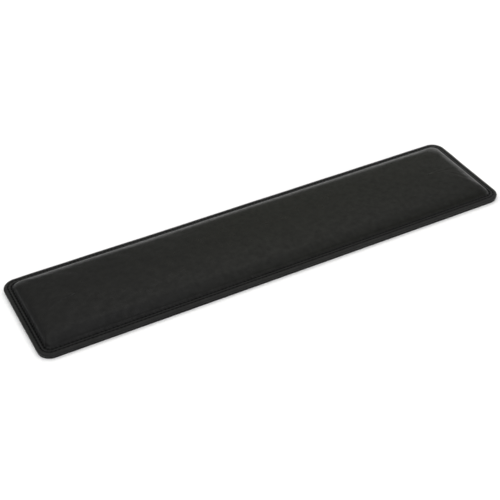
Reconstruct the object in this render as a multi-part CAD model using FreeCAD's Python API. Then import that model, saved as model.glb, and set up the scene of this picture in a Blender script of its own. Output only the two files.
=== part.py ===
import FreeCAD, Part
import math
import os

# Padded wrist rest for a full-size keyboard, millimetres, +Z up.
# Origin: centre of the footprint, on the desk plane. X runs along the length, Y from the
# user's side (-Y) to the keyboard side (+Y).
#
# From the desk up: a rubber base, a cover hem turned under the rim with a bonding sheet
# levelling the space inside it, a stiffener board, the cover's flat rim, and inside the
# rim a foam core under the cover's crown. Two rows of lockstitch run round the rim, each
# with a needle thread on top and a bobbin thread below, over a channel in the rubber.

Vector = FreeCAD.Vector

# ---- driving dimensions -------------------------------------------------------------
LENGTH = 445.0              # overall, along X
WIDTH = 102.5               # overall, along Y
CORNER_R = 11.5             # plan radius of the rim's corners
RUBBER_T = 1.6
COVER_T = 0.8
BOARD_T = 1.25
FILM_T = 0.15               # bonding film between the board and the foam
CROWN_Z = 12.5              # highest point of the pad above the desk

RUBBER_INSET = 0.25         # the rubber stands back from the rim's wall
RUBBER_EDGE_R = 0.3         # rounding of the rubber's bottom edge
EDGE_R = 1.1                # rounding of the turned rim edge
HEM_W = 12.5                # width of the hem turned under the rim
HEM_R = 5.0                 # plan corner radius of the hem's inner edge
HEM_GAP = 0.4               # gap between the hem and the bonding sheet

# Levels
RUBBER_TOP = RUBBER_T
HEM_TOP = RUBBER_TOP + COVER_T
BOARD_TOP = HEM_TOP + BOARD_T
RIM_TOP = BOARD_TOP + COVER_T
STITCH_MID = 0.5 * (RUBBER_TOP + RIM_TOP)

# Stitching
ROW_INSETS = {"outer": 3.35, "inner": 6.1}  # inward from the rim's wall
STITCH_PITCH = 3.47         # wanted stitch length, adjusted to a whole number of stitches
THREAD_R = 0.24
LEG_HALF = 0.27             # half the spacing of the two legs in one needle hole
TURN_GAP = 0.01             # from the middle of the layers to each thread's surface
HOLE_R = 0.55
CHANNEL_W = 1.3             # channel in the rubber under each bobbin thread
CHANNEL_D = 0.6

# Pad. Its profile is a rounded shoulder standing up from the rim, plus a slight crown.
PAD_INSET = 7.2             # where the pad rises out of the flat rim
PAD_R = 6.0                 # plan corner radius of the pad at its foot
PAD_R_GROWTH = 0.6          # growth of that radius per mm inward
PAD_H = CROWN_Z - RIM_TOP
SHOULDER_W = 11.5
SHOULDER_H = 5.4
PAD_TOP_DIST = 36.0         # from here inward the top is flat
MIN_HALF_SIDE = 0.5         # least half length of the straight along Y between corners

# Profile stations: angles in degrees round the shoulder, then distances from the foot
SHOULDER_ANGLES = (0, 7, 15, 24, 34, 45, 56, 67, 78)
CROWN_DISTS = (12.5, 17.0, 22.0, 29.0, PAD_TOP_DIST)
SLOPE_STEP = 1e-4           # half step of the numerical slope

# Overlaps that keep the faces of joined or cut bodies from coinciding
CUT_MARGIN = 0.5
HEM_CUT_OVERLAP = 0.2
CHANNEL_CORE_MARGIN = 0.1
PAD_JOIN_OVERLAP = 0.4
PAD_CUT_OVERLAP = 0.3


# ---- plan outlines and sheets -------------------------------------------------------
def rounded_outline(inset, radius, z):
    """Closed wire: a rounded rectangle, inset from the rim's outline, at height z."""
    half_x, half_y = LENGTH / 2 - inset, WIDTH / 2 - inset
    radius = min(radius, half_y - MIN_HALF_SIDE)
    axes = (Vector(1, 0, 0), Vector(0, 1, 0), Vector(-1, 0, 0), Vector(0, -1, 0))
    corners = []
    for i in range(4):
        start, end = axes[i], axes[(i + 1) % 4]
        diagonal = start + end
        centre = Vector(diagonal.x * (half_x - radius), diagonal.y * (half_y - radius), z)
        corners.append((centre + start * radius,
                        centre + diagonal * (math.sqrt(0.5) * radius),
                        centre + end * radius))
    edges = []
    for i, (start, middle, end) in enumerate(corners):
        edges.append(Part.Arc(start, middle, end).toShape())
        edges.append(Part.makeLine(end, corners[(i + 1) % 4][0]))
    return Part.Wire(edges)


def slab(inset, z0, z1, radius=None):
    """Flat sheet from z0 to z1; its corners are concentric with the rim's by default."""
    if radius is None:
        radius = CORNER_R - inset
    return Part.Face(rounded_outline(inset, radius, z0)).extrude(Vector(0, 0, z1 - z0))


def level_edges(solid, z):
    """Edges that lie wholly at height z."""
    return [edge for edge in solid.Edges
            if abs(edge.BoundBox.ZMin - z) < 1e-6 and abs(edge.BoundBox.ZMax - z) < 1e-6]


def single(shape):
    """The one solid of a boolean's result."""
    solids = shape.Solids
    if len(solids) != 1:
        raise RuntimeError("expected one solid, got %d" % len(solids))
    return solids[0]


# ---- pad form -----------------------------------------------------------------------
def pad_height(dist):
    """Height above the rim at a distance inward from the pad's foot."""
    half = WIDTH / 2 - PAD_INSET
    to_shoulder = 1 - min(dist, SHOULDER_W) / SHOULDER_W
    crown_at_top = 1 - (1 - PAD_TOP_DIST / half) ** 2
    crown = (1 - (1 - dist / half) ** 2) / crown_at_top
    return SHOULDER_H * math.sqrt(1 - to_shoulder ** 2) + (PAD_H - SHOULDER_H) * crown


def pad_normal(dist):
    """Unit outward normal of the profile, as (inward, upward) components."""
    if dist == 0.0:
        return -1.0, 0.0
    if dist == PAD_TOP_DIST:
        return 0.0, 1.0
    rise = pad_height(dist + SLOPE_STEP) - pad_height(dist - SLOPE_STEP)
    slope = rise / (2 * SLOPE_STEP)
    size = math.hypot(slope, 1.0)
    return -slope / size, 1.0 / size


def pad_form(offset, z_foot):
    """The pad's crowned form, its surface moved inward by offset, on a foot from z_foot."""
    dists = [SHOULDER_W * (1 - math.cos(math.radians(angle))) for angle in SHOULDER_ANGLES]
    wires = []
    for dist in dists + list(CROWN_DISTS):
        normal_in, normal_up = pad_normal(dist)
        inward = dist - offset * normal_in
        z = RIM_TOP + pad_height(dist) - offset * normal_up
        wires.append(rounded_outline(PAD_INSET + inward, PAD_R + PAD_R_GROWTH * inward, z))
    foot = slab(PAD_INSET + offset, z_foot, RIM_TOP, PAD_R + PAD_R_GROWTH * offset)
    return foot.fuse(Part.makeLoft(wires, True, True))


# ---- stitching ----------------------------------------------------------------------
def row_path(inset):
    """Centres (x, y) of the needle holes along one stitch row, evenly spaced.

    They run clockwise seen from above, from half a stitch past the middle of the +Y side.
    """
    radius = CORNER_R - inset
    corner_x, corner_y = LENGTH / 2 - inset - radius, WIDTH / 2 - inset - radius
    side_x, side_y = 2 * corner_x, 2 * corner_y
    arc = math.pi * radius / 2
    total = 2 * (side_x + side_y) + 4 * arc
    count = int(round(total / STITCH_PITCH))
    # each side with the corner that ends it: corner centre x, y, angle at which the
    # corner starts, direction of the side x, y, length of the side
    sides = ((corner_x, corner_y, 90.0, 1, 0, side_x),
             (corner_x, -corner_y, 0.0, 0, -1, side_y),
             (-corner_x, -corner_y, -90.0, -1, 0, side_x),
             (-corner_x, corner_y, 180.0, 0, 1, side_y))
    points = []
    for i in range(count):
        travel = ((i + 0.5) * total / count + side_x / 2) % total
        for centre_x, centre_y, degrees, dir_x, dir_y, length in sides:
            angle = math.radians(degrees)
            if travel < length:
                back = length - travel
                points.append((centre_x + radius * math.cos(angle) - dir_x * back,
                               centre_y + radius * math.sin(angle) - dir_y * back))
                break
            travel -= length
            if travel < arc:
                angle -= travel / radius
                points.append((centre_x + radius * math.cos(angle),
                               centre_y + radius * math.sin(angle)))
                break
            travel -= arc
    return points


def make_thread(points, z_face, up):
    """One thread along a row of needle holes, both free ends left in the first hole.

    z_face is the face it lies on; up is +1 for a needle thread above that face, -1 for a
    bobbin thread below it. At each hole it turns in to the middle of the layers and back.
    """
    z_lying = z_face + up * THREAD_R
    z_turn = STITCH_MID + up * (TURN_GAP + THREAD_R)
    path = []
    for i, point in enumerate(points):
        start = Vector(*point, 0)
        end = Vector(*points[(i + 1) % len(points)], 0)
        leg = (end - start) / (end - start).Length * LEG_HALF
        for place, z in ((start + leg, z_turn), (start + leg, z_lying),
                         (end - leg, z_lying), (end - leg, z_turn)):
            path.append(Vector(place.x, place.y, z))
    profile = Part.Wire([Part.makeCircle(THREAD_R, path[0], path[1] - path[0])])
    make_solid, frenet, mitred = True, False, 1
    return Part.makePolygon(path).makePipeShell([profile], make_solid, frenet, mitred)


def make_needle_holes(rows):
    """Cutters for every needle hole, through the hem, the board and the rim."""
    z0, z1 = RUBBER_TOP - CUT_MARGIN, RIM_TOP + CUT_MARGIN
    return Part.makeCompound([Part.makeCylinder(HOLE_R, z1 - z0, Vector(x, y, z0))
                              for points in rows.values() for x, y in points])


# ---- pieces -------------------------------------------------------------------------
def make_board_blank():
    """The board before its holes, filling the rim from edge to edge."""
    blank = slab(COVER_T, HEM_TOP, BOARD_TOP)
    return blank.makeFillet(EDGE_R - COVER_T,
                            level_edges(blank, HEM_TOP) + level_edges(blank, BOARD_TOP))


def make_cover(board_blank, holes):
    """Crown, flat rim, turned edge and hem in one skin."""
    body = slab(0.0, RUBBER_TOP, RIM_TOP)
    body = body.makeFillet(EDGE_R, level_edges(body, RUBBER_TOP) + level_edges(body, RIM_TOP))
    body = body.fuse(pad_form(0.0, RIM_TOP - PAD_JOIN_OVERLAP)).removeSplitter()
    pad_space = pad_form(COVER_T, BOARD_TOP - PAD_CUT_OVERLAP)
    hem_opening = slab(HEM_W, RUBBER_TOP - CUT_MARGIN, HEM_TOP + HEM_CUT_OVERLAP, HEM_R)
    cover = single(body.cut(board_blank.fuse([pad_space, hem_opening])))
    return single(cover.cut(holes))


def make_foam_and_film():
    """The space under the crown, split into the foam core and the film under it."""
    pad_space = pad_form(COVER_T, BOARD_TOP)
    film_layer = Part.makeBox(LENGTH, WIDTH, FILM_T, Vector(-LENGTH / 2, -WIDTH / 2, BOARD_TOP))
    return single(pad_space.cut(film_layer)), single(pad_space.common(film_layer))


def make_rubber():
    """Base sheet with a channel in its top under each stitch row."""
    rubber = slab(RUBBER_INSET, 0.0, RUBBER_TOP)
    rubber = rubber.makeFillet(RUBBER_EDGE_R, level_edges(rubber, 0.0))
    z0, z1 = RUBBER_TOP - CHANNEL_D, RUBBER_TOP + CUT_MARGIN
    for inset in ROW_INSETS.values():
        outer = slab(inset - CHANNEL_W / 2, z0, z1)
        core = slab(inset + CHANNEL_W / 2, z0 - CHANNEL_CORE_MARGIN, z1 + CHANNEL_CORE_MARGIN)
        rubber = rubber.cut(outer.cut(core))
    return single(rubber)


# ---- build and export ---------------------------------------------------------------
rows = {name: row_path(inset) for name, inset in ROW_INSETS.items()}
holes = make_needle_holes(rows)
board_blank = make_board_blank()
foam, film = make_foam_and_film()

parts = {
    "top_cover": make_cover(board_blank, holes),
    "foam_core": foam,
    "foam_bonding_film": film,
    "stiffener_board": single(board_blank.cut(holes)),
    "base_bonding_sheet": slab(HEM_W + HEM_GAP, RUBBER_TOP, HEM_TOP, HEM_R - HEM_GAP),
    "rubber_base": make_rubber(),
}
for name, points in rows.items():
    parts[name + "_needle_thread"] = make_thread(points, RIM_TOP, 1)
    parts[name + "_bobbin_thread"] = make_thread(points, RUBBER_TOP, -1)

os.makedirs("parts", exist_ok=True)
for name, shape in parts.items():
    shape.exportStep("parts/%s.step" % name)
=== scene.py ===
"""Keyboard wrist rest: a foam pad in stitched black leatherette, on a board and a rubber base.
It lies flat and centred on the origin: length along X, back side at +Y, crown at +Z.
Lengths are millimetres until a mesh is made, and metres in shaders, lights and camera."""
import math
import bpy
import numpy as np
from mathutils import Matrix, Vector


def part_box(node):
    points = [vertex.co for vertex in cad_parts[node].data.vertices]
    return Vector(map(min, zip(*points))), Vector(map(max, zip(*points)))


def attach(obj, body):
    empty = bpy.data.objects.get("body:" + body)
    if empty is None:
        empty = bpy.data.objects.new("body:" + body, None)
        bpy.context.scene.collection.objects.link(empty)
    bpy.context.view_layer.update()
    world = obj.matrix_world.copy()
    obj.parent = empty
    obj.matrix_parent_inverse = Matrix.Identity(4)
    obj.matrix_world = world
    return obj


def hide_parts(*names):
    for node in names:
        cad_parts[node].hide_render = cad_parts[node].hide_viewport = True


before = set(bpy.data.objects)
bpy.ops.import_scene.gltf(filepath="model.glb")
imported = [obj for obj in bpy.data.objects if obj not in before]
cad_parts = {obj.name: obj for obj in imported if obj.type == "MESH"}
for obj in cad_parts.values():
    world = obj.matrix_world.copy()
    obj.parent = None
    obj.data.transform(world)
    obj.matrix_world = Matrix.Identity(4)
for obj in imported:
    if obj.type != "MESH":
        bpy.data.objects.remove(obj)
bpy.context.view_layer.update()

MM = 0.001

# ------------------------------------------------------------------ sizes
cover_low, cover_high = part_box("top_cover")
HALF_X = float(cover_high.x) / MM                # half length of the rim
HALF_Y = float(cover_high.y) / MM                # half width of the rim
Z_CROWN = float(cover_high.z) / MM
Z_HEM = float(cover_low.z) / MM                  # underside of the hem
Z_BOARD = float(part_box("stiffener_board")[1].z) / MM
Z_FOAM = float(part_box("foam_core")[0].z) / MM
COVER_T = 0.8
Z_RIM = Z_BOARD + COVER_T                        # flat rim
CORNER_R = 11.5
STITCH_PITCH = 3.47                              # nominal, before it is evened round a row
EDGE_R = 1.1                                     # turned edge of the rim
EDGE_SWELL = 0.28                                # the turned edge stands out in mid height
HEM_WIDTH = 12.5
FOOT = 7.2                                       # where the pad stands up out of the rim
SHOULDER, SHOULDER_H = 11.5, 5.4                 # width and height of the pad's shoulder
FOAM_GAP = 0.06                                  # between the cover and the foam

# segments along half an end, a corner and a long side
FINE, MEDIUM, PAD, COARSE = (69, 21, 729), (46, 21, 486), (23, 28, 243), (12, 10, 121)
CLOTH = (20, 12, 207)

# share of the ring key given to half an end, a corner and a long side
HALF_END, CORNER, LONG = 39.75, 12.25, 422.0
SECTION = np.array([HALF_END, CORNER, LONG, CORNER, 2 * HALF_END, CORNER, LONG, CORNER, HALF_END])
START = np.concatenate([[0], np.cumsum(SECTION)])


# ------------------------------------------------------------------ shaping functions
def smooth_max(first, second, width):
    overlap = np.maximum(width - np.abs(first - second), 0) / width
    return np.maximum(first, second) + overlap * overlap * width / 4


def smooth_min(first, second, width):
    return -smooth_max(-first, -second, width)


def smoothstep(value, low, high):
    t = np.clip((value - low) / (high - low), 0, 1)
    return t * t * (3 - 2 * t)


def bell(offset, width):
    return np.exp(-(offset / width) ** 2)


def waves(xy, seed, wavelength, count=14, stretch=1.0):
    """Smooth unit-size noise from a sum of sines, in plan."""
    draw = np.random.default_rng(seed)
    total = np.zeros(len(xy))
    for _ in range(count):
        angle = draw.uniform(0, 2 * math.pi)
        rate = 2 * math.pi / (wavelength * draw.uniform(0.7, 1.6))
        total += np.sin(rate * (xy[:, 0] * math.cos(angle) / stretch + xy[:, 1] * math.sin(angle))
                        + draw.uniform(0, 2 * math.pi))
    return total / math.sqrt(count / 2)


# ------------------------------------------------------------------ rings of vertices
def corner_radius(inset):
    """Plan corner radius of the outline at an inset from the rim's wall."""
    radius = smooth_max(CORNER_R - inset, 1.8 + 0.62 * inset, 1.6)
    return float(np.maximum(smooth_min(radius, 0.8 * (HALF_Y - inset), 3.0), 0.05))


class Ring:
    """A closed row of vertices: an inset rounded rectangle, at even steps per side.
    It starts in the middle of the right end (+X) and goes anticlockwise seen from above.
    The key tells how far round a vertex is, on a scale that all rings share."""

    def __init__(self, inset, counts):
        self.inset = float(inset)
        radius = corner_radius(inset)
        x, y = HALF_X - inset, HALF_Y - inset
        flat_x, flat_y = x - radius, max(y - radius, 0.0)
        half, arc, long = counts
        # straight sides as (start, end, outward, segments), corners as (centre, angle, segments)
        plan = [((x, 0), (x, flat_y), (1, 0), half), ((flat_x, flat_y), 0, arc),
                ((flat_x, y), (-flat_x, y), (0, 1), long), ((-flat_x, flat_y), 90, arc),
                ((-x, flat_y), (-x, -flat_y), (-1, 0), 2 * half), ((-flat_x, -flat_y), 180, arc),
                ((-flat_x, -y), (flat_x, -y), (0, -1), long), ((flat_x, -flat_y), 270, arc),
                ((x, -flat_y), (x, 0), (1, 0), half)]
        key, points, normals = [], [], []
        for i, part in enumerate(plan):
            count = part[-1]
            t = np.arange(count) / count
            key.append(START[i] + SECTION[i] * t)
            if len(part) == 4:
                start, end = np.array(part[0], float), np.array(part[1], float)
                points.append(start + (end - start) * t[:, None])
                normals.append(np.tile(part[2], (count, 1)).astype(float))
            else:
                angle = np.radians(part[1] + 90 * t)
                outward = np.stack([np.cos(angle), np.sin(angle)], 1)
                points.append(np.array(part[0]) + radius * outward)
                normals.append(outward)
        self.key = np.concatenate(key)
        self.xy = np.concatenate(points)
        self.normal = np.concatenate(normals)
        self.count = len(self.key)

    def at(self, z):
        return np.column_stack([self.xy, np.full(self.count, z)])


class Builder:
    """Collects rings of vertices and the faces between them."""

    def __init__(self):
        self.rings, self.points, self.faces, self.count = [], [], [], 0

    def add(self, ring, xyz):
        ring.first = self.count
        self.count += len(xyz)
        self.points.append(xyz)
        self.rings.append(ring)
        return ring

    def add_faces(self, faces, flip):
        self.faces += [face[::-1] for face in faces] if flip else faces

    def strip(self, outer, inner, flip=False):
        """Faces between two rings; they look up where the second ring lies inward."""
        faces = []
        if outer.count == inner.count:
            j = np.arange(outer.count)
            k = (j + 1) % outer.count
            faces = np.stack([outer.first + j, outer.first + k,
                              inner.first + k, inner.first + j], 1).tolist()
        else:
            # triangles, stepping along whichever ring is behind
            i = j = 0
            outer_key = np.append(outer.key, START[-1])
            inner_key = np.append(inner.key, START[-1])
            while i < outer.count or j < inner.count:
                on_outer = outer.first + i % outer.count
                on_inner = inner.first + j % inner.count
                if j >= inner.count or (i < outer.count and outer_key[i + 1] <= inner_key[j + 1]):
                    faces.append([on_outer, outer.first + (i + 1) % outer.count, on_inner])
                    i += 1
                else:
                    faces.append([on_outer, inner.first + (j + 1) % inner.count, on_inner])
                    j += 1
        self.add_faces(faces, flip)

    def close(self, ring, flip=False):
        """Closes a ring across its long middle line."""
        faces, count, first = [], ring.count, ring.first
        for j in range(count // 2):
            corners = [first + j, first + j + 1,
                       first + (count - j - 1) % count, first + (count - j) % count]
            corners = list(dict.fromkeys(corners))
            if len(corners) > 2:
                faces.append(corners)
        self.add_faces(faces, flip)

    def object(self, name, material):
        return mesh_object(name, np.concatenate(self.points) * MM, self.faces, material)


def mesh_object(name, points, faces, material, smooth=True):
    mesh = bpy.data.meshes.new(name)
    mesh.from_pydata(np.asarray(points, float).tolist(), [], faces)
    mesh.validate()
    mesh.update()
    if smooth:
        mesh.polygons.foreach_set("use_smooth", [True] * len(mesh.polygons))
    if material is not None:
        mesh.materials.append(material)
    ob = bpy.data.objects.new(name, mesh)
    bpy.context.scene.collection.objects.link(ob)
    return ob


# ------------------------------------------------------------------ the stitch rows
class StitchRow:
    """A row of evenly spaced needle holes at an inset from the rim's wall. Distances along
    it start in the middle of the back side (+Y) and go clockwise seen from above."""

    def __init__(self, inset, seed):
        self.inset = inset
        self.radius = CORNER_R - inset
        self.flat_x = HALF_X - inset - self.radius
        self.flat_y = HALF_Y - inset - self.radius
        self.quarter = math.pi * self.radius / 2
        self.length = 4 * self.flat_x + 4 * self.flat_y + 4 * self.quarter
        self.count = int(round(self.length / STITCH_PITCH))
        self.pitch = self.length / self.count
        self.holes = np.array([self.hole(i) for i in range(self.count)])
        self.uneven = np.random.default_rng(seed).normal(0, 1, self.count)

    def hole(self, i):
        flat_x, flat_y, radius = self.flat_x, self.flat_y, self.radius
        left = ((i + 0.5) * self.length / self.count + flat_x) % self.length
        # the centre of the corner a side runs into, its first angle, and the side's
        # direction and length
        for x, y, degrees, step_x, step_y, side in (
                (flat_x, flat_y, 90, 1, 0, 2 * flat_x), (flat_x, -flat_y, 0, 0, -1, 2 * flat_y),
                (-flat_x, -flat_y, -90, -1, 0, 2 * flat_x),
                (-flat_x, flat_y, 180, 0, 1, 2 * flat_y)):
            angle = math.radians(degrees)
            if left < side:
                return (x + radius * math.cos(angle) - step_x * (side - left),
                        y + radius * math.sin(angle) - step_y * (side - left))
            left -= side
            if left < self.quarter:
                angle -= left / radius
                return x + radius * math.cos(angle), y + radius * math.sin(angle)
            left -= self.quarter

    def phase(self, xy):
        """Place along the row nearest to each point, in stitches; whole at a hole."""
        flat_x, flat_y, quarter = self.flat_x, self.flat_y, self.quarter
        x, y = xy[:, 0], xy[:, 1]
        angle = np.degrees(np.arctan2(y - np.clip(y, -flat_y, flat_y),
                                      x - np.clip(x, -flat_x, flat_x)))
        right, left = x > flat_x, x < -flat_x
        back, front = y > flat_y, y < -flat_y
        mid_x, mid_y = np.abs(x) <= flat_x, np.abs(y) <= flat_y
        regions = [
            (back & mid_x, x),
            (right & back, flat_x + (90 - angle) / 90 * quarter),
            (right & mid_y, flat_x + quarter + (flat_y - y)),
            (right & front, flat_x + quarter + 2 * flat_y + (0 - angle) / 90 * quarter),
            (front & mid_x, flat_x + 2 * quarter + 2 * flat_y + (flat_x - x)),
            (left & front, 3 * flat_x + 2 * quarter + 2 * flat_y + (-90 - angle) / 90 * quarter),
            (left & mid_y, 3 * flat_x + 3 * quarter + 2 * flat_y + (y + flat_y)),
            (left & back, 3 * flat_x + 3 * quarter + 4 * flat_y + (180 - angle) / 90 * quarter)]
        along = np.select([where for where, _ in regions], [value for _, value in regions], 0.0)
        return along % self.length / self.pitch - 0.5

    def near_hole(self, phase):
        """Distance along the row to the nearest hole."""
        return np.abs(phase - np.round(phase)) * self.pitch


ROWS = {"outer": StitchRow(inset=3.35, seed=45), "inner": StitchRow(inset=6.1, seed=73)}


# ------------------------------------------------------------------ the cover's section
def pad_height(run):
    """Height above the rim at a distance inward from the pad's foot."""
    to_top = 1.0 - np.minimum(run, SHOULDER) / SHOULDER
    half = HALF_Y - FOOT
    to_middle = 1.0 - np.minimum(run, half) / half
    crown = 1.0 - to_middle * to_middle
    return (SHOULDER_H * np.sqrt(np.maximum(1.0 - to_top * to_top, 0))
            + (Z_CROWN - Z_RIM - SHOULDER_H) * crown)


def pad_point(run):
    return FOOT + run, Z_RIM + float(pad_height(run))


def shoulder_run(degrees):
    """Distance inward from the foot at an angle round the shoulder's quarter ellipse."""
    return SHOULDER * (1 - math.cos(math.radians(degrees)))


def cover_profile():
    """The cover's outer face in cross-section, as (inset, z), from under the rim's edge to
    the middle of the pad."""
    points = []
    for middle, angles in ((Z_HEM + EDGE_R, (-90, -65, -40, -15)),
                           (Z_RIM - EDGE_R, (12, 35, 58, 80))):
        for degrees in angles:
            angle = math.radians(degrees)
            points.append((EDGE_R - (EDGE_R + EDGE_SWELL) * math.cos(angle),
                           middle + EDGE_R * math.sin(angle)))
    outer, inner = ROWS["outer"].inset, ROWS["inner"].inset
    # the rim with its two stitch grooves: inset, height above the flat rim
    rim = [(1.45, 0.03), (2.05, 0.08), (outer - 0.72, 0.05),
           (outer - 0.42, -0.20), (outer, -0.54), (outer + 0.42, -0.18), (outer + 0.74, 0.07),
           (0.5 * (outer + inner), 0.16), (inner - 0.74, 0.06), (inner - 0.42, -0.20),
           (inner, -0.56), (inner + 0.36, -0.28), (inner + 0.70, 0.24)]
    points += [(inset, Z_RIM + rise) for inset, rise in rim]
    points += [pad_point(shoulder_run(degrees)) for degrees in (9, 17, 27, 39, 52, 65, 78)]
    points += [pad_point(run) for run in (13.0, 18.0, 24.0, 31.0, 41.0)]
    return np.array(points)


PROFILE = cover_profile()
PROFILE_ENDS = np.vstack([2 * PROFILE[0] - PROFILE[1], PROFILE, 2 * PROFILE[-1] - PROFILE[-2]])
CHORDS = np.linalg.norm(np.diff(PROFILE, axis=0), axis=1)
CHORD_START = np.concatenate([[0], np.cumsum(CHORDS)])


def profile_at(length):
    """Centripetal Catmull-Rom through the profile, at a chord length: inset, z."""
    i = int(np.clip(np.searchsorted(CHORD_START, length, "right") - 1, 0, len(CHORDS) - 1))
    t = (length - CHORD_START[i]) / CHORDS[i]
    points = PROFILE_ENDS[i:i + 4]
    knots = [0.0]
    for start, end in zip(points, points[1:]):
        knots.append(knots[-1] + max(np.linalg.norm(end - start), 1e-6) ** 0.5)
    at = knots[1] + t * (knots[2] - knots[1])

    def between(start, end, j, k):
        width = knots[k] - knots[j]
        return (knots[k] - at) / width * start + (at - knots[j]) / width * end

    near = [between(points[j], points[j + 1], j, j + 1) for j in range(3)]
    wide = [between(near[j], near[j + 1], j, j + 2) for j in range(2)]
    return between(wide[0], wide[1], 1, 2)


def on_edge(inset, z):
    """Whether a point of the profile is on the rim's turned edge."""
    return inset < 1.1 and z < Z_RIM + 0.02


def row_step(inset, z):
    if on_edge(inset, z):
        return 0.42
    if inset < FOOT - 0.3:
        return 0.27
    if z < Z_RIM + 2.2:
        return 0.36
    if inset < FOOT + 4:
        return 0.7
    if inset < FOOT + 14:
        return 1.1
    return 2.2


def row_positions():
    """Chord lengths of the cover's rows, close together on the stitched rim."""
    lengths = [0.0]
    while lengths[-1] < CHORD_START[-1]:
        lengths.append(lengths[-1] + row_step(*profile_at(lengths[-1])))
    lengths[-1] = CHORD_START[-1]
    return lengths


# ------------------------------------------------------------------ relief of the cover
def relief(xy, inset):
    """How far the cover's rim and the pad's foot stand proud of the plain profile."""
    total = np.zeros(len(xy))
    for row in ROWS.values():
        phase = row.phase(xy)
        near = row.near_hole(phase)
        uneven = row.uneven[np.round(phase).astype(int) % row.count]
        across = inset - row.inset
        # a pit at each needle hole
        total -= (0.20 + 0.03 * uneven) * bell(near, 0.55) * bell(across, 0.45)
        # the leatherette swells between two holes and gathers at each one
        swell = 0.5 - 0.5 * np.cos(2 * math.pi * phase)
        total += (0.13 + 0.03 * uneven) * (swell - 0.5) * bell(np.abs(across) - 0.85, 0.55)
        gather = bell(near, 0.42) * np.exp(-np.maximum(np.abs(across) - 0.4, 0) / 0.9)
        total -= (0.07 + 0.02 * uneven) * gather
    return total


def groove_shade(xy, inset):
    """How deep in a stitch groove or a needle hole a point lies, 0 to 1; the leatherette paints
    shade into the grooves and holes by it.
    """
    depth = np.zeros(len(xy))
    for row in ROWS.values():
        near = row.near_hole(row.phase(xy))
        across = np.abs(inset - row.inset)
        depth = np.maximum(depth, 0.6 * bell(across, 0.5))
        depth = np.maximum(depth, bell(across, 0.8) * bell(near, 0.85))
    return depth


def foot_scallops(xy, z):
    """Shallow gathers where the pad is pulled down to the inner row."""
    row = ROWS["inner"]
    phase = row.phase(xy)
    along = (phase + 0.5) * row.pitch
    fade = np.exp(-np.maximum(z - Z_RIM - 0.2, 0) / 1.6)
    slow = 0.6 + 0.4 * np.sin(along * 0.043 + 1.1) * np.sin(along * 0.0171 + 0.4)
    return -0.075 * slow * (0.5 + 0.5 * np.cos(2 * math.pi * phase)) * fade


def soft_moves(xy, inset):
    """Slow unevenness of the padded skin: shallow dents, and pulls towards the corners."""
    on_pad = smoothstep(inset, FOOT - 0.2, FOOT + 5.0)
    moves = 0.11 * waves(xy, seed=3, wavelength=62.0, count=16, stretch=2.2) * on_pad
    moves += (0.03 * waves(xy, seed=5, wavelength=17.0, count=22, stretch=1.6) * on_pad
              * (1 - 0.55 * smoothstep(inset, 18, 30)))
    # drag lines run from each corner along the diagonal, and die out in the pad
    from_x, from_y = HALF_X - np.abs(xy[:, 0]), HALF_Y - np.abs(xy[:, 1])
    across = from_x - from_y
    along = (from_x + from_y) / 2
    quadrant = (xy[:, 0] > 0) * 1.7 + (xy[:, 1] > 0) * 0.9
    lines = np.cos(across / 2.3 + quadrant * 2 + 0.35 * np.sin(along / 5 + quadrant))
    moves += (0.03 * lines * bell(across, 7.5)
              * smoothstep(along, 8, 13) * (1 - smoothstep(along, 17, 31)))
    return moves


# ------------------------------------------------------------------ cloth pass on the pad
SIM_SCALE = 10.0      # the cloth solver behaves better on a sheet a few metres long
SIM_CAP = 1.1         # the furthest a point may move
SIM_LIFT = 0.3        # how far the sheet's foot starts above the rim
SIM_HEIGHT = 9.0      # pad height over which that lift is taken back
SIM_FRAMES = 24
SIM_SMOOTHING = 6     # passes


class Field:
    """Displacements of the simulated pad skin, looked up by inset and place along it."""

    def __init__(self, insets, key, moved):
        self.insets, self.key = insets, np.append(key, START[-1])
        self.moved = np.concatenate([moved, moved[:, :1]], 1)

    def at(self, ring):
        insets, key, moved = self.insets, self.key, self.moved
        j = np.clip(np.searchsorted(insets, ring.inset, "right") - 1, 0, len(insets) - 2)
        inward = np.clip((ring.inset - insets[j]) / (insets[j + 1] - insets[j]), 0, 1)
        i = np.clip(np.searchsorted(key, ring.key, "right") - 1, 0, len(key) - 2)
        along = ((ring.key - key[i]) / (key[i + 1] - key[i]))[:, None]
        return ((moved[j, i] * (1 - along) + moved[j, i + 1] * along) * (1 - inward)
                + (moved[j + 1, i] * (1 - along) + moved[j + 1, i + 1] * along) * inward)


def add_cloth(ob):
    modifier = ob.modifiers.new("cloth", "CLOTH")
    cloth = modifier.settings
    cloth.quality = 6
    cloth.mass = 0.35
    cloth.tension_stiffness = 22
    cloth.compression_stiffness = 14
    cloth.shear_stiffness = 9
    cloth.bending_stiffness = 12.0
    cloth.tension_damping = cloth.compression_damping = cloth.shear_damping = 12
    cloth.bending_damping = 2.0
    cloth.air_damping = 4
    cloth.vertex_group_mass = "pin"
    cloth.pin_stiffness = 4.0
    cloth.use_pressure = True
    cloth.uniform_pressure_force = 0.04
    # a negative shrink makes the sheet a little too large
    cloth.shrink_min = -0.0003
    cloth.shrink_max = -0.0003
    cloth.effector_weights.gravity = 0.0
    modifier.collision_settings.use_collision = False
    modifier.collision_settings.use_self_collision = False
    modifier.point_cache.frame_start = 1
    modifier.point_cache.frame_end = SIM_FRAMES


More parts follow.
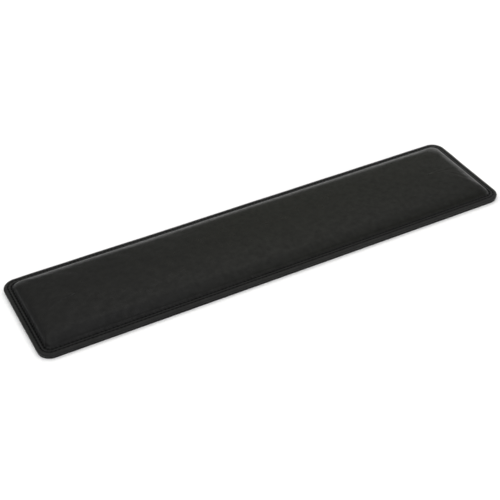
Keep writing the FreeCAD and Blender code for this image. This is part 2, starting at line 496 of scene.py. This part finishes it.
def simulate_pad():
    """Runs the cover's crown as cloth, held at its foot, a little too large for the foam
    and pushed out by it. Returns the displacement field."""
    insets = [FOOT]
    insets += [FOOT + shoulder_run(degrees) for degrees in (12, 22, 32, 42, 53, 65, 78)]
    insets += [FOOT + SHOULDER + past
               for past in (0.5, 2.6, 4.9, 7.4, 10.2, 13.4, 17.0, 21.0, 25.0, 29.0)]
    builder = Builder()
    for inset in insets:
        ring = Ring(inset, CLOTH)
        rise = pad_height(inset - FOOT) * (1 - SIM_LIFT / SIM_HEIGHT)
        builder.add(ring, ring.at(Z_RIM + SIM_LIFT + rise))
    for outer, inner in zip(builder.rings, builder.rings[1:]):
        builder.strip(outer, inner)
    builder.close(builder.rings[-1])
    rest = np.concatenate(builder.points)
    ob = mesh_object("pad_cloth", rest * MM * SIM_SCALE, builder.faces, None)

    count = builder.rings[0].count
    pin = ob.vertex_groups.new(name="pin")
    # the foot is fixed; the foam behind the rest of the skin holds it lightly
    for start, end, weight in ((0, count, 1.0), (count, 2 * count, 0.35),
                               (2 * count, builder.count, 0.2)):
        pin.add(list(range(start, end)), weight, "REPLACE")
    add_cloth(ob)
    scene = bpy.context.scene
    for frame_number in range(1, SIM_FRAMES + 1):
        scene.frame_set(frame_number)
    evaluated = ob.evaluated_get(bpy.context.evaluated_depsgraph_get())
    mesh = evaluated.to_mesh()
    points = np.zeros(len(mesh.vertices) * 3)
    mesh.vertices.foreach_get("co", points)
    evaluated.to_mesh_clear()
    moved = points.reshape(-1, 3) / (MM * SIM_SCALE) - rest
    bpy.data.objects.remove(ob)
    scene.frame_set(1)

    length = np.linalg.norm(moved, axis=1)
    moved *= (np.tanh(length / SIM_CAP) * SIM_CAP / np.maximum(length, 1e-9))[:, None]
    grid = moved.reshape(len(insets), count, 3)
    # the sheet is far coarser than the leather: take out folds as short as its own mesh
    for _ in range(SIM_SMOOTHING):
        inner = 0.25 * grid[:-2] + 0.5 * grid[1:-1] + 0.25 * grid[2:]
        last = 0.5 * (grid[-1:] + grid[-2:-1])
        grid = np.concatenate([grid[:1], inner, last])
        grid = 0.25 * np.roll(grid, 1, 1) + 0.5 * grid + 0.25 * np.roll(grid, -1, 1)
    return Field(np.array(insets), builder.rings[0].key, grid)


# ------------------------------------------------------------------ shader helpers
class Shader:
    """Short ways to add nodes to a tree. Inputs may be sockets, numbers or RGB tuples."""

    def __init__(self, tree):
        self.tree = tree

    def node(self, kind, **values):
        new = self.tree.nodes.new(kind)
        for name, value in values.items():
            if name in new.inputs:
                new.inputs[name].default_value = value
            else:
                setattr(new, name, value)
        return new

    def feed(self, value, socket):
        if isinstance(value, (int, float)):
            socket.default_value = value
        elif isinstance(value, tuple):
            socket.default_value = value + (1.0,)
        else:
            self.tree.links.new(value, socket)

    def noise(self, scale, detail=2.0, rough=0.5, stretch=None, distortion=0.0):
        place = self.place
        if stretch is not None:
            mapping = self.node("ShaderNodeMapping", Scale=stretch)
            self.feed(place, mapping.inputs["Vector"])
            place = mapping.outputs[0]
        new = self.node("ShaderNodeTexNoise", Scale=scale, Detail=detail, Roughness=rough,
                        Distortion=distortion)
        self.feed(place, new.inputs["Vector"])
        return new.outputs[0]

    def voronoi(self, scale, feature="F1", random=1.0):
        new = self.node("ShaderNodeTexVoronoi", feature=feature, Scale=scale, Randomness=random)
        self.feed(self.place, new.inputs["Vector"])
        return new.outputs["Distance"]

    def span(self, value, over, to=(0.0, 1.0)):
        """Maps the range "over" to the range "to", clamped."""
        new = self.node("ShaderNodeMapRange")
        for name, number in zip(("From Min", "From Max", "To Min", "To Max"), over + to):
            new.inputs[name].default_value = number
        self.feed(value, new.inputs["Value"])
        return new.outputs[0]

    def maths(self, operation, first, second, clamp=False):
        new = self.node("ShaderNodeMath", operation=operation, use_clamp=clamp)
        self.feed(first, new.inputs[0])
        self.feed(second, new.inputs[1])
        return new.outputs[0]

    def mix(self, factor, first, second):
        new = self.node("ShaderNodeMix", data_type="RGBA")
        # the factor and the two colours
        for i, value in ((0, factor), (6, first), (7, second)):
            self.feed(value, new.inputs[i])
        return new.outputs[2]

    def finish(self, color, rough, height, strength, distance, specular=None):
        """Feeds the surface; strength and distance (m) are those of the bump."""
        inputs = self.surface.inputs
        self.feed(color, inputs["Base Color"])
        self.feed(rough, inputs["Roughness"])
        if specular is not None:
            self.feed(specular, inputs["Specular IOR Level"])
        bump = self.node("ShaderNodeBump", Strength=strength, Distance=distance)
        self.feed(height, bump.inputs["Height"])
        self.feed(bump.outputs[0], inputs["Normal"])


def new_material(name):
    material = bpy.data.materials.new(name)
    material.use_nodes = True
    shader = Shader(material.node_tree)
    shader.tree.nodes.clear()
    output = shader.node("ShaderNodeOutputMaterial")
    shader.surface = shader.node("ShaderNodeBsdfPrincipled")
    shader.feed(shader.surface.outputs[0], output.inputs[0])
    shader.place = shader.node("ShaderNodeTexCoord").outputs["Object"]
    return material, shader


def grey(level):
    return (level, level, level)


# ------------------------------------------------------------------ materials
def leatherette():
    """Near-black polyurethane leather: fine pebbled grain, soft sheen, slight olive tone. Painted
    light
    and shade: lighter and more olive at the right end and back, darker at the left end, lighter
    on the rim, shaded in the stitch grooves."""
    material, shader = new_material("leatherette_black")
    span, maths, mix = shader.span, shader.maths, shader.mix
    pebbles = shader.voronoi(scale=780, feature="DISTANCE_TO_EDGE", random=0.95)
    small = shader.voronoi(scale=1650)
    fine = shader.noise(scale=2600, detail=3.0, rough=0.6)
    cloud = shader.noise(scale=21, detail=3.0, rough=0.55, stretch=(0.45, 1.0, 1.0))
    place = shader.node("ShaderNodeSeparateXYZ")
    shader.feed(shader.place, place.inputs[0])
    x, y, z = place.outputs
    mottle = shader.noise(scale=190, detail=4.0, rough=0.6)
    valley = span(pebbles, over=(0.0, 0.16))      # 0 between pebbles, 1 on them
    # painted light: the leatherette is painted lighter and more olive towards the right end and
    # along the back side
    painted_olive_light = maths("ADD", span(x, over=(-0.20, 0.02), to=(0.0, 0.55)),
                 span(y, over=(-0.03, 0.03), to=(0.0, 0.45)))
    base = mix(span(cloud, over=(0.35, 0.68)), grey(0.0042), (0.0058, 0.0058, 0.0057))
    base = mix(painted_olive_light, base, (0.0058, 0.0064, 0.0030))
    # painted shade: darker towards the left end
    base = mix(span(x, over=(-0.20, -0.03), to=(0.5, 0.0)), base, (0.0020, 0.0020, 0.0021))
    base = mix(span(mottle, over=(0.3, 0.75), to=(0.0, 0.42)), base, grey(0.0030))
    base = mix(span(valley, over=(0.0, 1.0), to=(0.30, 0.0)), base, (0.0019, 0.0019, 0.0020))
    # painted light: the pressed rim is painted lighter than the pad, most of all at the right and
    # back
    rim_light_gradient = maths("ADD", maths("MULTIPLY", x, 1.2), maths("MULTIPLY", y, 5.0))
    rim_light_gradient = span(rim_light_gradient, over=(-0.35, 0.35), to=(0.35, 1.0))
    rim = maths("MULTIPLY", span(z, over=((Z_RIM + 0.9) * MM, (Z_RIM + 0.1) * MM)), rim_light_gradient)
    # the painted rim light stops where the turned edge goes under, so the lower wall is left
    # darker as painted shade
    rim = maths("MULTIPLY", rim, span(z, over=((Z_RIM - 2.4) * MM, (Z_RIM - 0.7) * MM)))
    base = mix(rim, base, (0.0150, 0.0151, 0.0151))
    # painted shade: the leatherette is darkened to near black in the stitch grooves and needle
    # holes; the same mask also raises roughness and lowers specular there
    groove = shader.node("ShaderNodeAttribute", attribute_name="groove_shade").outputs["Fac"]
    base = mix(span(groove, over=(0.1, 1.0), to=(0.0, 0.85)), base, (0.0009, 0.0009, 0.0010))
    rough = maths("ADD", span(mottle, over=(0.3, 0.7), to=(-0.035, 0.045)),
                  span(cloud, over=(0.3, 0.7), to=(0.275, 0.335)))
    rough = maths("ADD", rough, span(valley, over=(0.0, 1.0), to=(0.12, 0.0)))
    rough = maths("ADD", rough, span(groove, over=(0.1, 1.0), to=(0.0, 0.3)), clamp=True)
    specular = maths("MULTIPLY", span(groove, over=(0.1, 1.0), to=(1.0, 0.2)),
                     span(mottle, over=(0.3, 0.7), to=(0.175, 0.125)))
    height = maths("ADD", maths("MULTIPLY", valley, 0.7), maths("MULTIPLY", small, 0.25))
    height = maths("ADD", height, maths("MULTIPLY", fine, 0.22))
    shader.finish(base, rough, height, strength=0.42, distance=0.00006, specular=specular)
    return material


def sewing_thread():
    """Bonded polyester thread, near black, with the faint shine of its filaments."""
    material, shader = new_material("sewing_thread_black")
    span, mix = shader.span, shader.mix
    fibre = shader.noise(scale=5200, detail=3.0, rough=0.65)
    tone = shader.noise(scale=350)
    base = mix(span(fibre, over=(0.32, 0.7)), (0.0025, 0.0025, 0.0027), (0.0070, 0.0070, 0.0072))
    base = mix(span(tone, over=(0.35, 0.7), to=(0.0, 0.4)), base, (0.0045, 0.0045, 0.0047))
    rough = span(fibre, over=(0.3, 0.7), to=(0.62, 0.46))
    shader.finish(base, rough, fibre, strength=0.5, distance=0.00003, specular=0.10)
    return material


def rubber():
    """Black non-slip sheet with a fine fabric-pressed texture and a trace of bloom."""
    material, shader = new_material("base_rubber_black")
    span, maths, mix = shader.span, shader.maths, shader.mix
    dots = shader.voronoi(scale=900, random=0.15)
    bloom = shader.noise(scale=35, detail=4.0, rough=0.6)
    grit = shader.noise(scale=2100, rough=0.6)
    base = mix(span(bloom, over=(0.35, 0.75)), (0.0050, 0.0050, 0.0052), (0.0095, 0.0095, 0.0098))
    base = mix(span(dots, over=(0.25, 0.6), to=(0.0, 0.5)), base, (0.0030, 0.0030, 0.0032))
    rough = maths("ADD", span(bloom, over=(0.3, 0.7), to=(0.66, 0.80)),
                  span(grit, over=(0.3, 0.7), to=(-0.05, 0.05)))
    height = maths("SUBTRACT", maths("MULTIPLY", grit, 0.25), dots)
    shader.finish(base, rough, height, strength=0.5, distance=0.00012, specular=0.2)
    return material


def foam_cream():
    material, shader = new_material("foam_cream")
    span, mix = shader.span, shader.mix
    cells = shader.voronoi(scale=1500)
    tone = shader.noise(scale=30, detail=3.0)
    base = mix(span(tone, over=(0.3, 0.7)), (0.66, 0.62, 0.50), (0.58, 0.53, 0.40))
    base = mix(span(cells, over=(0.1, 0.55), to=(0.35, 0.0)), base, (0.36, 0.32, 0.24))
    rough = span(cells, over=(0.0, 0.6), to=(0.98, 0.84))
    shader.finish(base, rough, cells, strength=0.6, distance=0.0002)
    return material


def board_grey():
    material, shader = new_material("board_grey")
    span, mix = shader.span, shader.mix
    fibre = shader.noise(scale=420, detail=5.0, rough=0.65, stretch=(1.0, 3.5, 3.5))
    fleck = shader.voronoi(scale=700)
    base = mix(span(fibre, over=(0.3, 0.72)), (0.115, 0.105, 0.092), (0.060, 0.055, 0.050))
    base = mix(span(fleck, over=(0.0, 0.14), to=(0.6, 0.0)), base, (0.20, 0.18, 0.15))
    rough = span(fibre, over=(0.3, 0.7), to=(0.72, 0.86))
    shader.finish(base, rough, fibre, strength=0.4, distance=0.00008)
    return material


def film_amber():
    material, shader = new_material("bonding_film_amber")
    smear = shader.noise(scale=60, detail=4.0, rough=0.6, stretch=(0.4, 1.0, 1.0), distortion=0.6)
    base = shader.mix(shader.span(smear, over=(0.3, 0.7)), (0.60, 0.52, 0.32), (0.72, 0.66, 0.46))
    rough = shader.span(smear, over=(0.3, 0.7), to=(0.28, 0.46))
    shader.finish(base, rough, smear, strength=0.3, distance=0.00005)
    return material


def sheet_white():
    material, shader = new_material("bonding_sheet_white")
    span, mix = shader.span, shader.mix
    cells = shader.voronoi(scale=1900)
    tone = shader.noise(scale=55, detail=3.0)
    base = mix(span(tone, over=(0.3, 0.7)), (0.74, 0.74, 0.71), (0.66, 0.66, 0.63))
    base = mix(span(cells, over=(0.1, 0.6), to=(0.3, 0.0)), base, (0.48, 0.48, 0.46))
    rough = span(cells, over=(0.0, 0.6), to=(0.9, 0.78))
    shader.finish(base, rough, cells, strength=0.4, distance=0.0001)
    return material


LEATHER, THREAD, RUBBER = leatherette(), sewing_thread(), rubber()
field = simulate_pad()


def fit(ob, replaced):
    """Puts a piece in the place of one of the frame's."""
    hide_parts(replaced)
    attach(ob, "root")


# ------------------------------------------------------------------ the cover
def pad_rows(depth):
    """Rows at a depth under the pad's face, as (inset, z, whether it moves with the skin)."""
    rows = []
    for degrees in (16, 28, 40, 53, 66, 78):
        angle = math.radians(degrees)
        slope = SHOULDER_H * math.cos(angle) / (SHOULDER * math.sin(angle))
        norm = math.hypot(slope, 1)
        inset, z = pad_point(shoulder_run(degrees))
        rows.append((inset + depth * slope / norm, z - depth / norm, True))
    for run in (15.0, 25.0, 41.0):
        inset, z = pad_point(run)
        rows.append((inset, z - depth, True))
    return rows


def add_rows(builder, rows):
    """Adds coarse rings from rows like those of pad_rows."""
    rings = []
    for inset, z, moves in rows:
        ring = Ring(inset, COARSE)
        xyz = ring.at(z)
        if moves:
            xyz[:, 2] += soft_moves(ring.xy, inset)
            if field is not None:
                xyz += field.at(ring)
        rings.append(builder.add(ring, xyz))
    return rings


def row_counts(inset, z):
    if on_edge(inset, z) or (z > Z_RIM + 2.2 and inset < FOOT + 4):
        return MEDIUM
    return FINE if inset < FOOT + 4 else PAD


def outer_push(ring, z):
    """How far the outer face stands proud of the profile round a ring."""
    inset = ring.inset
    push = np.zeros(ring.count)
    if not on_edge(inset, z):
        past_rows = inset > ROWS["inner"].inset + 0.5
        fade = 1 - smoothstep(z, Z_RIM + 0.3, Z_RIM + 2.0) if past_rows else 1.0
        push += relief(ring.xy, inset) * fade * smoothstep(inset, 0.9, 1.6)
    if inset > ROWS["inner"].inset + 0.1:
        push += foot_scallops(ring.xy, z)
        push += soft_moves(ring.xy, inset)
    # the turned edge isn't quite even along its length
    if inset < 3.2:
        push += (0.05 * waves(ring.xy, seed=9, wavelength=34.0)
                 * (1 - 0.6 * smoothstep(inset, 1.0, 3.0)))
        if z < Z_HEM + 0.3:
            push *= 0.3
    return push


def add_outer_face(builder):
    # the hem below, from its free edge out to the turned edge
    for inset in (HEM_WIDTH, 8.0, 4.0, EDGE_R + 0.35):
        ring = Ring(inset, COARSE)
        builder.add(ring, ring.at(Z_HEM))
    lengths = row_positions()
    step = 1e-3                            # half the chord that gives the profile's tangent
    for length in lengths:
        inset, z = profile_at(length)
        ring = Ring(inset, row_counts(inset, z))
        tangent = (profile_at(min(length + step, lengths[-1]))
                   - profile_at(max(length - step, 0)))
        tangent /= np.linalg.norm(tangent)
        push = outer_push(ring, z)
        xyz = np.column_stack([ring.xy - ring.normal * (-tangent[1] * push)[:, None],
                               z + tangent[0] * push])
        if 2.0 < inset < FOOT:
            # at the bottom of a needle hole some skin is left over the board
            xyz[:, 2] = np.maximum(xyz[:, 2], Z_BOARD + 0.06)
        if field is not None and inset > FOOT - 0.4:
            xyz += field.at(ring) * smoothstep(inset, FOOT - 0.3, FOOT + 1.1)
        builder.add(ring, xyz)
    rings = list(builder.rings)
    for previous, ring in zip(rings[:4], rings[1:5]):
        builder.strip(ring, previous, flip=True)
    for previous, ring in zip(rings[4:], rings[5:]):
        builder.strip(previous, ring)
    builder.close(rings[-1])


def add_inner_face(builder):
    """From the hem's free edge outward, round the board and up under the pad."""
    thick, bend = COVER_T, 0.25
    # the hem's free edge moves as the skin above it does
    rows = [(HEM_WIDTH, Z_HEM + thick, True), (6.0, Z_HEM + thick, False),
            (thick + bend, Z_HEM + thick, False), (thick, Z_HEM + thick + bend, False),
            (thick, Z_BOARD - bend, False), (thick + bend, Z_BOARD, False),
            (5.0, Z_BOARD, False), (FOOT + thick, Z_BOARD, False),
            (FOOT + thick + 0.02, Z_RIM + 0.3, False)]
    rings = add_rows(builder, rows + pad_rows(thick))
    for previous, ring in zip(rings[:3], rings[1:4]):
        builder.strip(ring, previous)      # the hem's upper face looks up
    for previous, ring in zip(rings[3:], rings[4:]):
        builder.strip(previous, ring, flip=True)
    builder.close(rings[-1], flip=True)
    builder.strip(rings[0], builder.rings[0])    # the hem's free edge


def build_cover():
    builder = Builder()
    add_outer_face(builder)
    add_inner_face(builder)
    ob = builder.object("leatherette_cover", LEATHER)
    # the depth in the stitch grooves and needle holes, kept on the mesh for the leatherette's
    # painted shade there
    depth = np.concatenate([groove_shade(xyz[:, :2], ring.inset)
                            for ring, xyz in zip(builder.rings, builder.points)])
    attribute = ob.data.attributes.new("groove_shade", "FLOAT", "POINT")
    attribute.data.foreach_set("value", depth.astype(np.float32))
    return ob


fit(build_cover(), "top_cover")

# ------------------------------------------------------------------ the sewing threads
THREAD_R = 0.225
PLY_DEPTH = 0.16                # how far the three plies stand out, as a share of the radius
TWIST_LENGTH = 2.2              # of thread per 360 degrees of the ply pattern's phase
THREAD_SIDES = 9
Z_THREAD = Z_RIM - 0.31         # middle of a stitch
Z_THREAD_HOLE = Z_RIM - 0.72    # where a stitch enters its hole
Z_THREAD_TURN = Z_RIM - 1.02    # where the thread turns under the board's face
THREAD_LEG = 0.25               # from a hole's middle to the thread's upright leg
# stations of one stitch, from hole to hole
STITCH = (-1.0, -0.93, -0.84, -0.7, -0.52, -0.3, -0.1, 0.1, 0.3, 0.52, 0.7, 0.84, 0.93, 1.0)


def thread_path(row, seed):
    draw = np.random.default_rng(seed)
    high = Z_THREAD + 0.02 * draw.normal(0, 1, row.count)
    aside = 0.035 * draw.normal(0, 1, row.count)
    turn, leg = Z_THREAD_TURN, THREAD_LEG
    path = []
    for i in range(row.count):
        start, end = row.holes[i], row.holes[(i + 1) % row.count]
        length = np.linalg.norm(end - start)
        along = (end - start) / length
        across = np.array([-along[1], along[0]])
        path.append((*(start + along * 0.02), turn))
        path.append((*(start + along * leg * 0.72), turn + 0.06))
        path.append((*(start + along * leg), turn + 0.2))
        for station in STITCH:
            x, y = ((start + end) / 2 + along * station * (length / 2 - leg)
                    + across * aside[i] * (1 - station * station))
            path.append((x, y, high[i] - (high[i] - Z_THREAD_HOLE) * abs(station) ** 5))
        path.append((*(end - along * leg), turn + 0.2))
        path.append((*(end - along * leg * 0.72), turn + 0.06))
    path.append((*row.holes[0], turn))
    return np.array(path)


def needle_thread(name, seed):
    """One continuous needle thread: a three-ply strand that lies along the groove, dives
    into every hole, turns under the board's face and comes up again."""
    path = thread_path(ROWS[name], seed)
    tangent = np.gradient(path, axis=0)
    tangent /= np.linalg.norm(tangent, axis=1)[:, None]
    steps = np.linalg.norm(np.diff(path, axis=0), axis=1)
    along = np.concatenate([[0], np.cumsum(steps)])
    sides = THREAD_SIDES
    angle = np.arange(sides) / sides * 2 * math.pi
    # a frame carried along the path without spinning
    first = np.cross(tangent[0], (0.3, 0.2, 0.93))
    first /= np.linalg.norm(first)
    points = []
    for k in range(len(path)):
        first = first - tangent[k] * np.dot(first, tangent[k])
        first /= np.linalg.norm(first)
        second = np.cross(tangent[k], first)
        spin = 2 * math.pi * along[k] / TWIST_LENGTH
        radius = THREAD_R * (1 + PLY_DEPTH * np.cos(3 * angle + spin))
        points.append(path[k] + radius[:, None] * (np.cos(angle)[:, None] * first
                                                   + np.sin(angle)[:, None] * second))
    last = (len(path) - 1) * sides
    faces = []
    for k in range(0, last, sides):
        for j in range(sides):
            i = (j + 1) % sides
            faces.append([k + j, k + i, k + sides + i, k + sides + j])
    faces.append(list(range(sides))[::-1])
    faces.append([last + j for j in range(sides)])
    return mesh_object(name + "_row_thread", np.concatenate(points) * MM, faces, THREAD)


for row_name, thread_seed in (("outer", 31), ("inner", 47)):
    fit(needle_thread(row_name, thread_seed), row_name + "_needle_thread")


# ------------------------------------------------------------------ the foam inside
def build_foam():
    builder = Builder()
    depth = COVER_T + FOAM_GAP
    wall, bevel = FOOT + depth, (0.35, 0.3)      # bevel of the lower edge: inward, up
    rows = [(HALF_Y - 0.3, Z_FOAM, False), (30.0, Z_FOAM, False), (14.0, Z_FOAM, False),
            (wall + bevel[0], Z_FOAM, False), (wall, Z_FOAM + bevel[1], False),
            (wall + 0.02, Z_RIM + 0.3, False)]
    rings = add_rows(builder, rows + pad_rows(depth))
    for previous, ring in zip(rings, rings[1:]):
        builder.strip(previous, ring)
    builder.close(rings[0], flip=True)
    builder.close(rings[-1])
    return builder.object("foam_pad", foam_cream())


fit(build_foam(), "foam_core")

# ------------------------------------------------------------------ pieces kept from the frame
BOBBIN = THREAD.copy()
BOBBIN.name = "bobbin_thread_black"
for piece, piece_material in (
        ("stiffener_board", board_grey()), ("foam_bonding_film", film_amber()),
        ("base_bonding_sheet", sheet_white()), ("rubber_base", RUBBER),
        ("outer_bobbin_thread", BOBBIN), ("inner_bobbin_thread", BOBBIN)):
    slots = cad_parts[piece].data.materials
    slots.clear()
    slots.append(piece_material)


# ------------------------------------------------------------------ floor, world, lights (metres)
def build_floor():
    material = bpy.data.materials.new("studio_floor")
    material.use_nodes = True
    shader = Shader(material.node_tree)
    inputs = shader.tree.nodes["Principled BSDF"].inputs
    inputs["Base Color"].default_value = (0.975, 0.975, 0.975, 1)
    inputs["Roughness"].default_value = 0.9
    inputs["Specular IOR Level"].default_value = 0.0
    inputs["Emission Color"].default_value = (1, 1, 1, 1)
    # away from the object the floor runs out into the white of the studio
    place = shader.node("ShaderNodeNewGeometry")
    reach = shader.node("ShaderNodeVectorMath", operation="LENGTH")
    shader.feed(place.outputs["Position"], reach.inputs[0])
    ray = shader.node("ShaderNodeLightPath")
    glow = shader.maths("MULTIPLY", shader.span(reach.outputs["Value"], over=(0.45, 0.95)),
                        ray.outputs["Is Camera Ray"])
    shader.feed(glow, inputs["Emission Strength"])
    half, z = 6, -0.0002
    corners = [(-half, -half, z), (half, -half, z), (half, half, z), (-half, half, z)]
    return mesh_object("studio_floor", corners, [[0, 1, 2, 3]], material, smooth=False)


def build_world():
    """White to the camera, dimmer as a light."""
    world = bpy.data.worlds.new("studio")
    world.use_nodes = True
    shader = Shader(world.node_tree)
    shader.tree.nodes.clear()
    output = shader.node("ShaderNodeOutputWorld")
    seen = shader.node("ShaderNodeBackground", Color=(1, 1, 1, 1), Strength=1.0)
    lit = shader.node("ShaderNodeBackground", Color=(1, 1, 1, 1), Strength=0.39)
    ray = shader.node("ShaderNodeLightPath")
    pick = shader.node("ShaderNodeMixShader")
    shader.feed(ray.outputs["Is Camera Ray"], pick.inputs[0])
    shader.feed(lit.outputs[0], pick.inputs[1])
    shader.feed(seen.outputs[0], pick.inputs[2])
    shader.feed(pick.outputs[0], output.inputs[0])
    bpy.context.scene.world = world


WHITE, WARM = (1, 1, 1), (1.0, 0.99, 0.80)
# name, place, width and height, power in watts, colour; all aim at the origin
SOFTBOXES = [
    ("ceiling", (0.0, 0.0, 2.2), (4.0, 4.0), 50.0, WHITE),
    ("back_low", (0.0, 1.6, 0.12), (3.6, 0.2), 3.6, WHITE),
    ("back_high", (0.0, 1.5, 1.8), (3.0, 0.9), 3.6, WARM),
    ("right_low", (1.7, 0.0, 0.26), (3.0, 0.22), 5.5, WHITE),
    ("left_high", (-1.5, -0.2, 1.5), (2.4, 1.0), 5.0, WHITE),
    ("front_low", (-0.3, -2.0, 0.55), (3.5, 0.9), 16.0, WHITE),
    ("front_high", (-0.3, -1.5, 1.5), (3.0, 1.2), 3.0, WHITE)]


def softbox(name, place, size, power, color):
    data = bpy.data.lights.new(name, "AREA")
    data.shape = "RECTANGLE"
    data.size, data.size_y = size
    data.energy = power
    data.color = color
    ob = bpy.data.objects.new(name, data)
    ob.location = place
    aim = Vector((0, 0, 0)) - Vector(place)
    ob.rotation_euler = aim.to_track_quat("-Z", "Y").to_euler()
    bpy.context.scene.collection.objects.link(ob)
    return ob


floor = build_floor()
build_world()
lights = [softbox(*entry) for entry in SOFTBOXES]

# ------------------------------------------------------------------ camera (metres)
AZIMUTH, ELEVATION, ROLL = (math.radians(v) for v in (-27.6096, 38.8825, -0.6761))
TARGET, DISTANCE = Vector((-0.015448, -0.005537, 0.0)), 0.95728
SENSOR_MM, LENS_MM = 36.0, 78.9696


def build_camera():
    """In front (-Y) and to the left of the target, looking down at it."""
    back = Vector((math.sin(AZIMUTH) * math.cos(ELEVATION),
                   -math.cos(AZIMUTH) * math.cos(ELEVATION), math.sin(ELEVATION)))
    right = (-back).cross(Vector((0, 0, 1))).normalized()
    up = right.cross(-back)
    cosine, sine = math.cos(ROLL), math.sin(ROLL)
    right, up = cosine * right + sine * up, -sine * right + cosine * up
    matrix = Matrix((right, up, back)).transposed().to_4x4()
    matrix.translation = TARGET + back * DISTANCE
    data = bpy.data.cameras.new("camera")
    data.sensor_width = SENSOR_MM
    data.lens = LENS_MM
    data.clip_start, data.clip_end = 0.01, 50.0
    ob = bpy.data.objects.new("camera", data)
    ob.matrix_world = matrix
    bpy.context.scene.collection.objects.link(ob)
    bpy.context.scene.camera = ob
    return ob


camera = build_camera()
view = bpy.context.scene.view_settings
view.view_transform = "Standard"
view.look = "None"
view.exposure = 0.0
view.gamma = 1.0
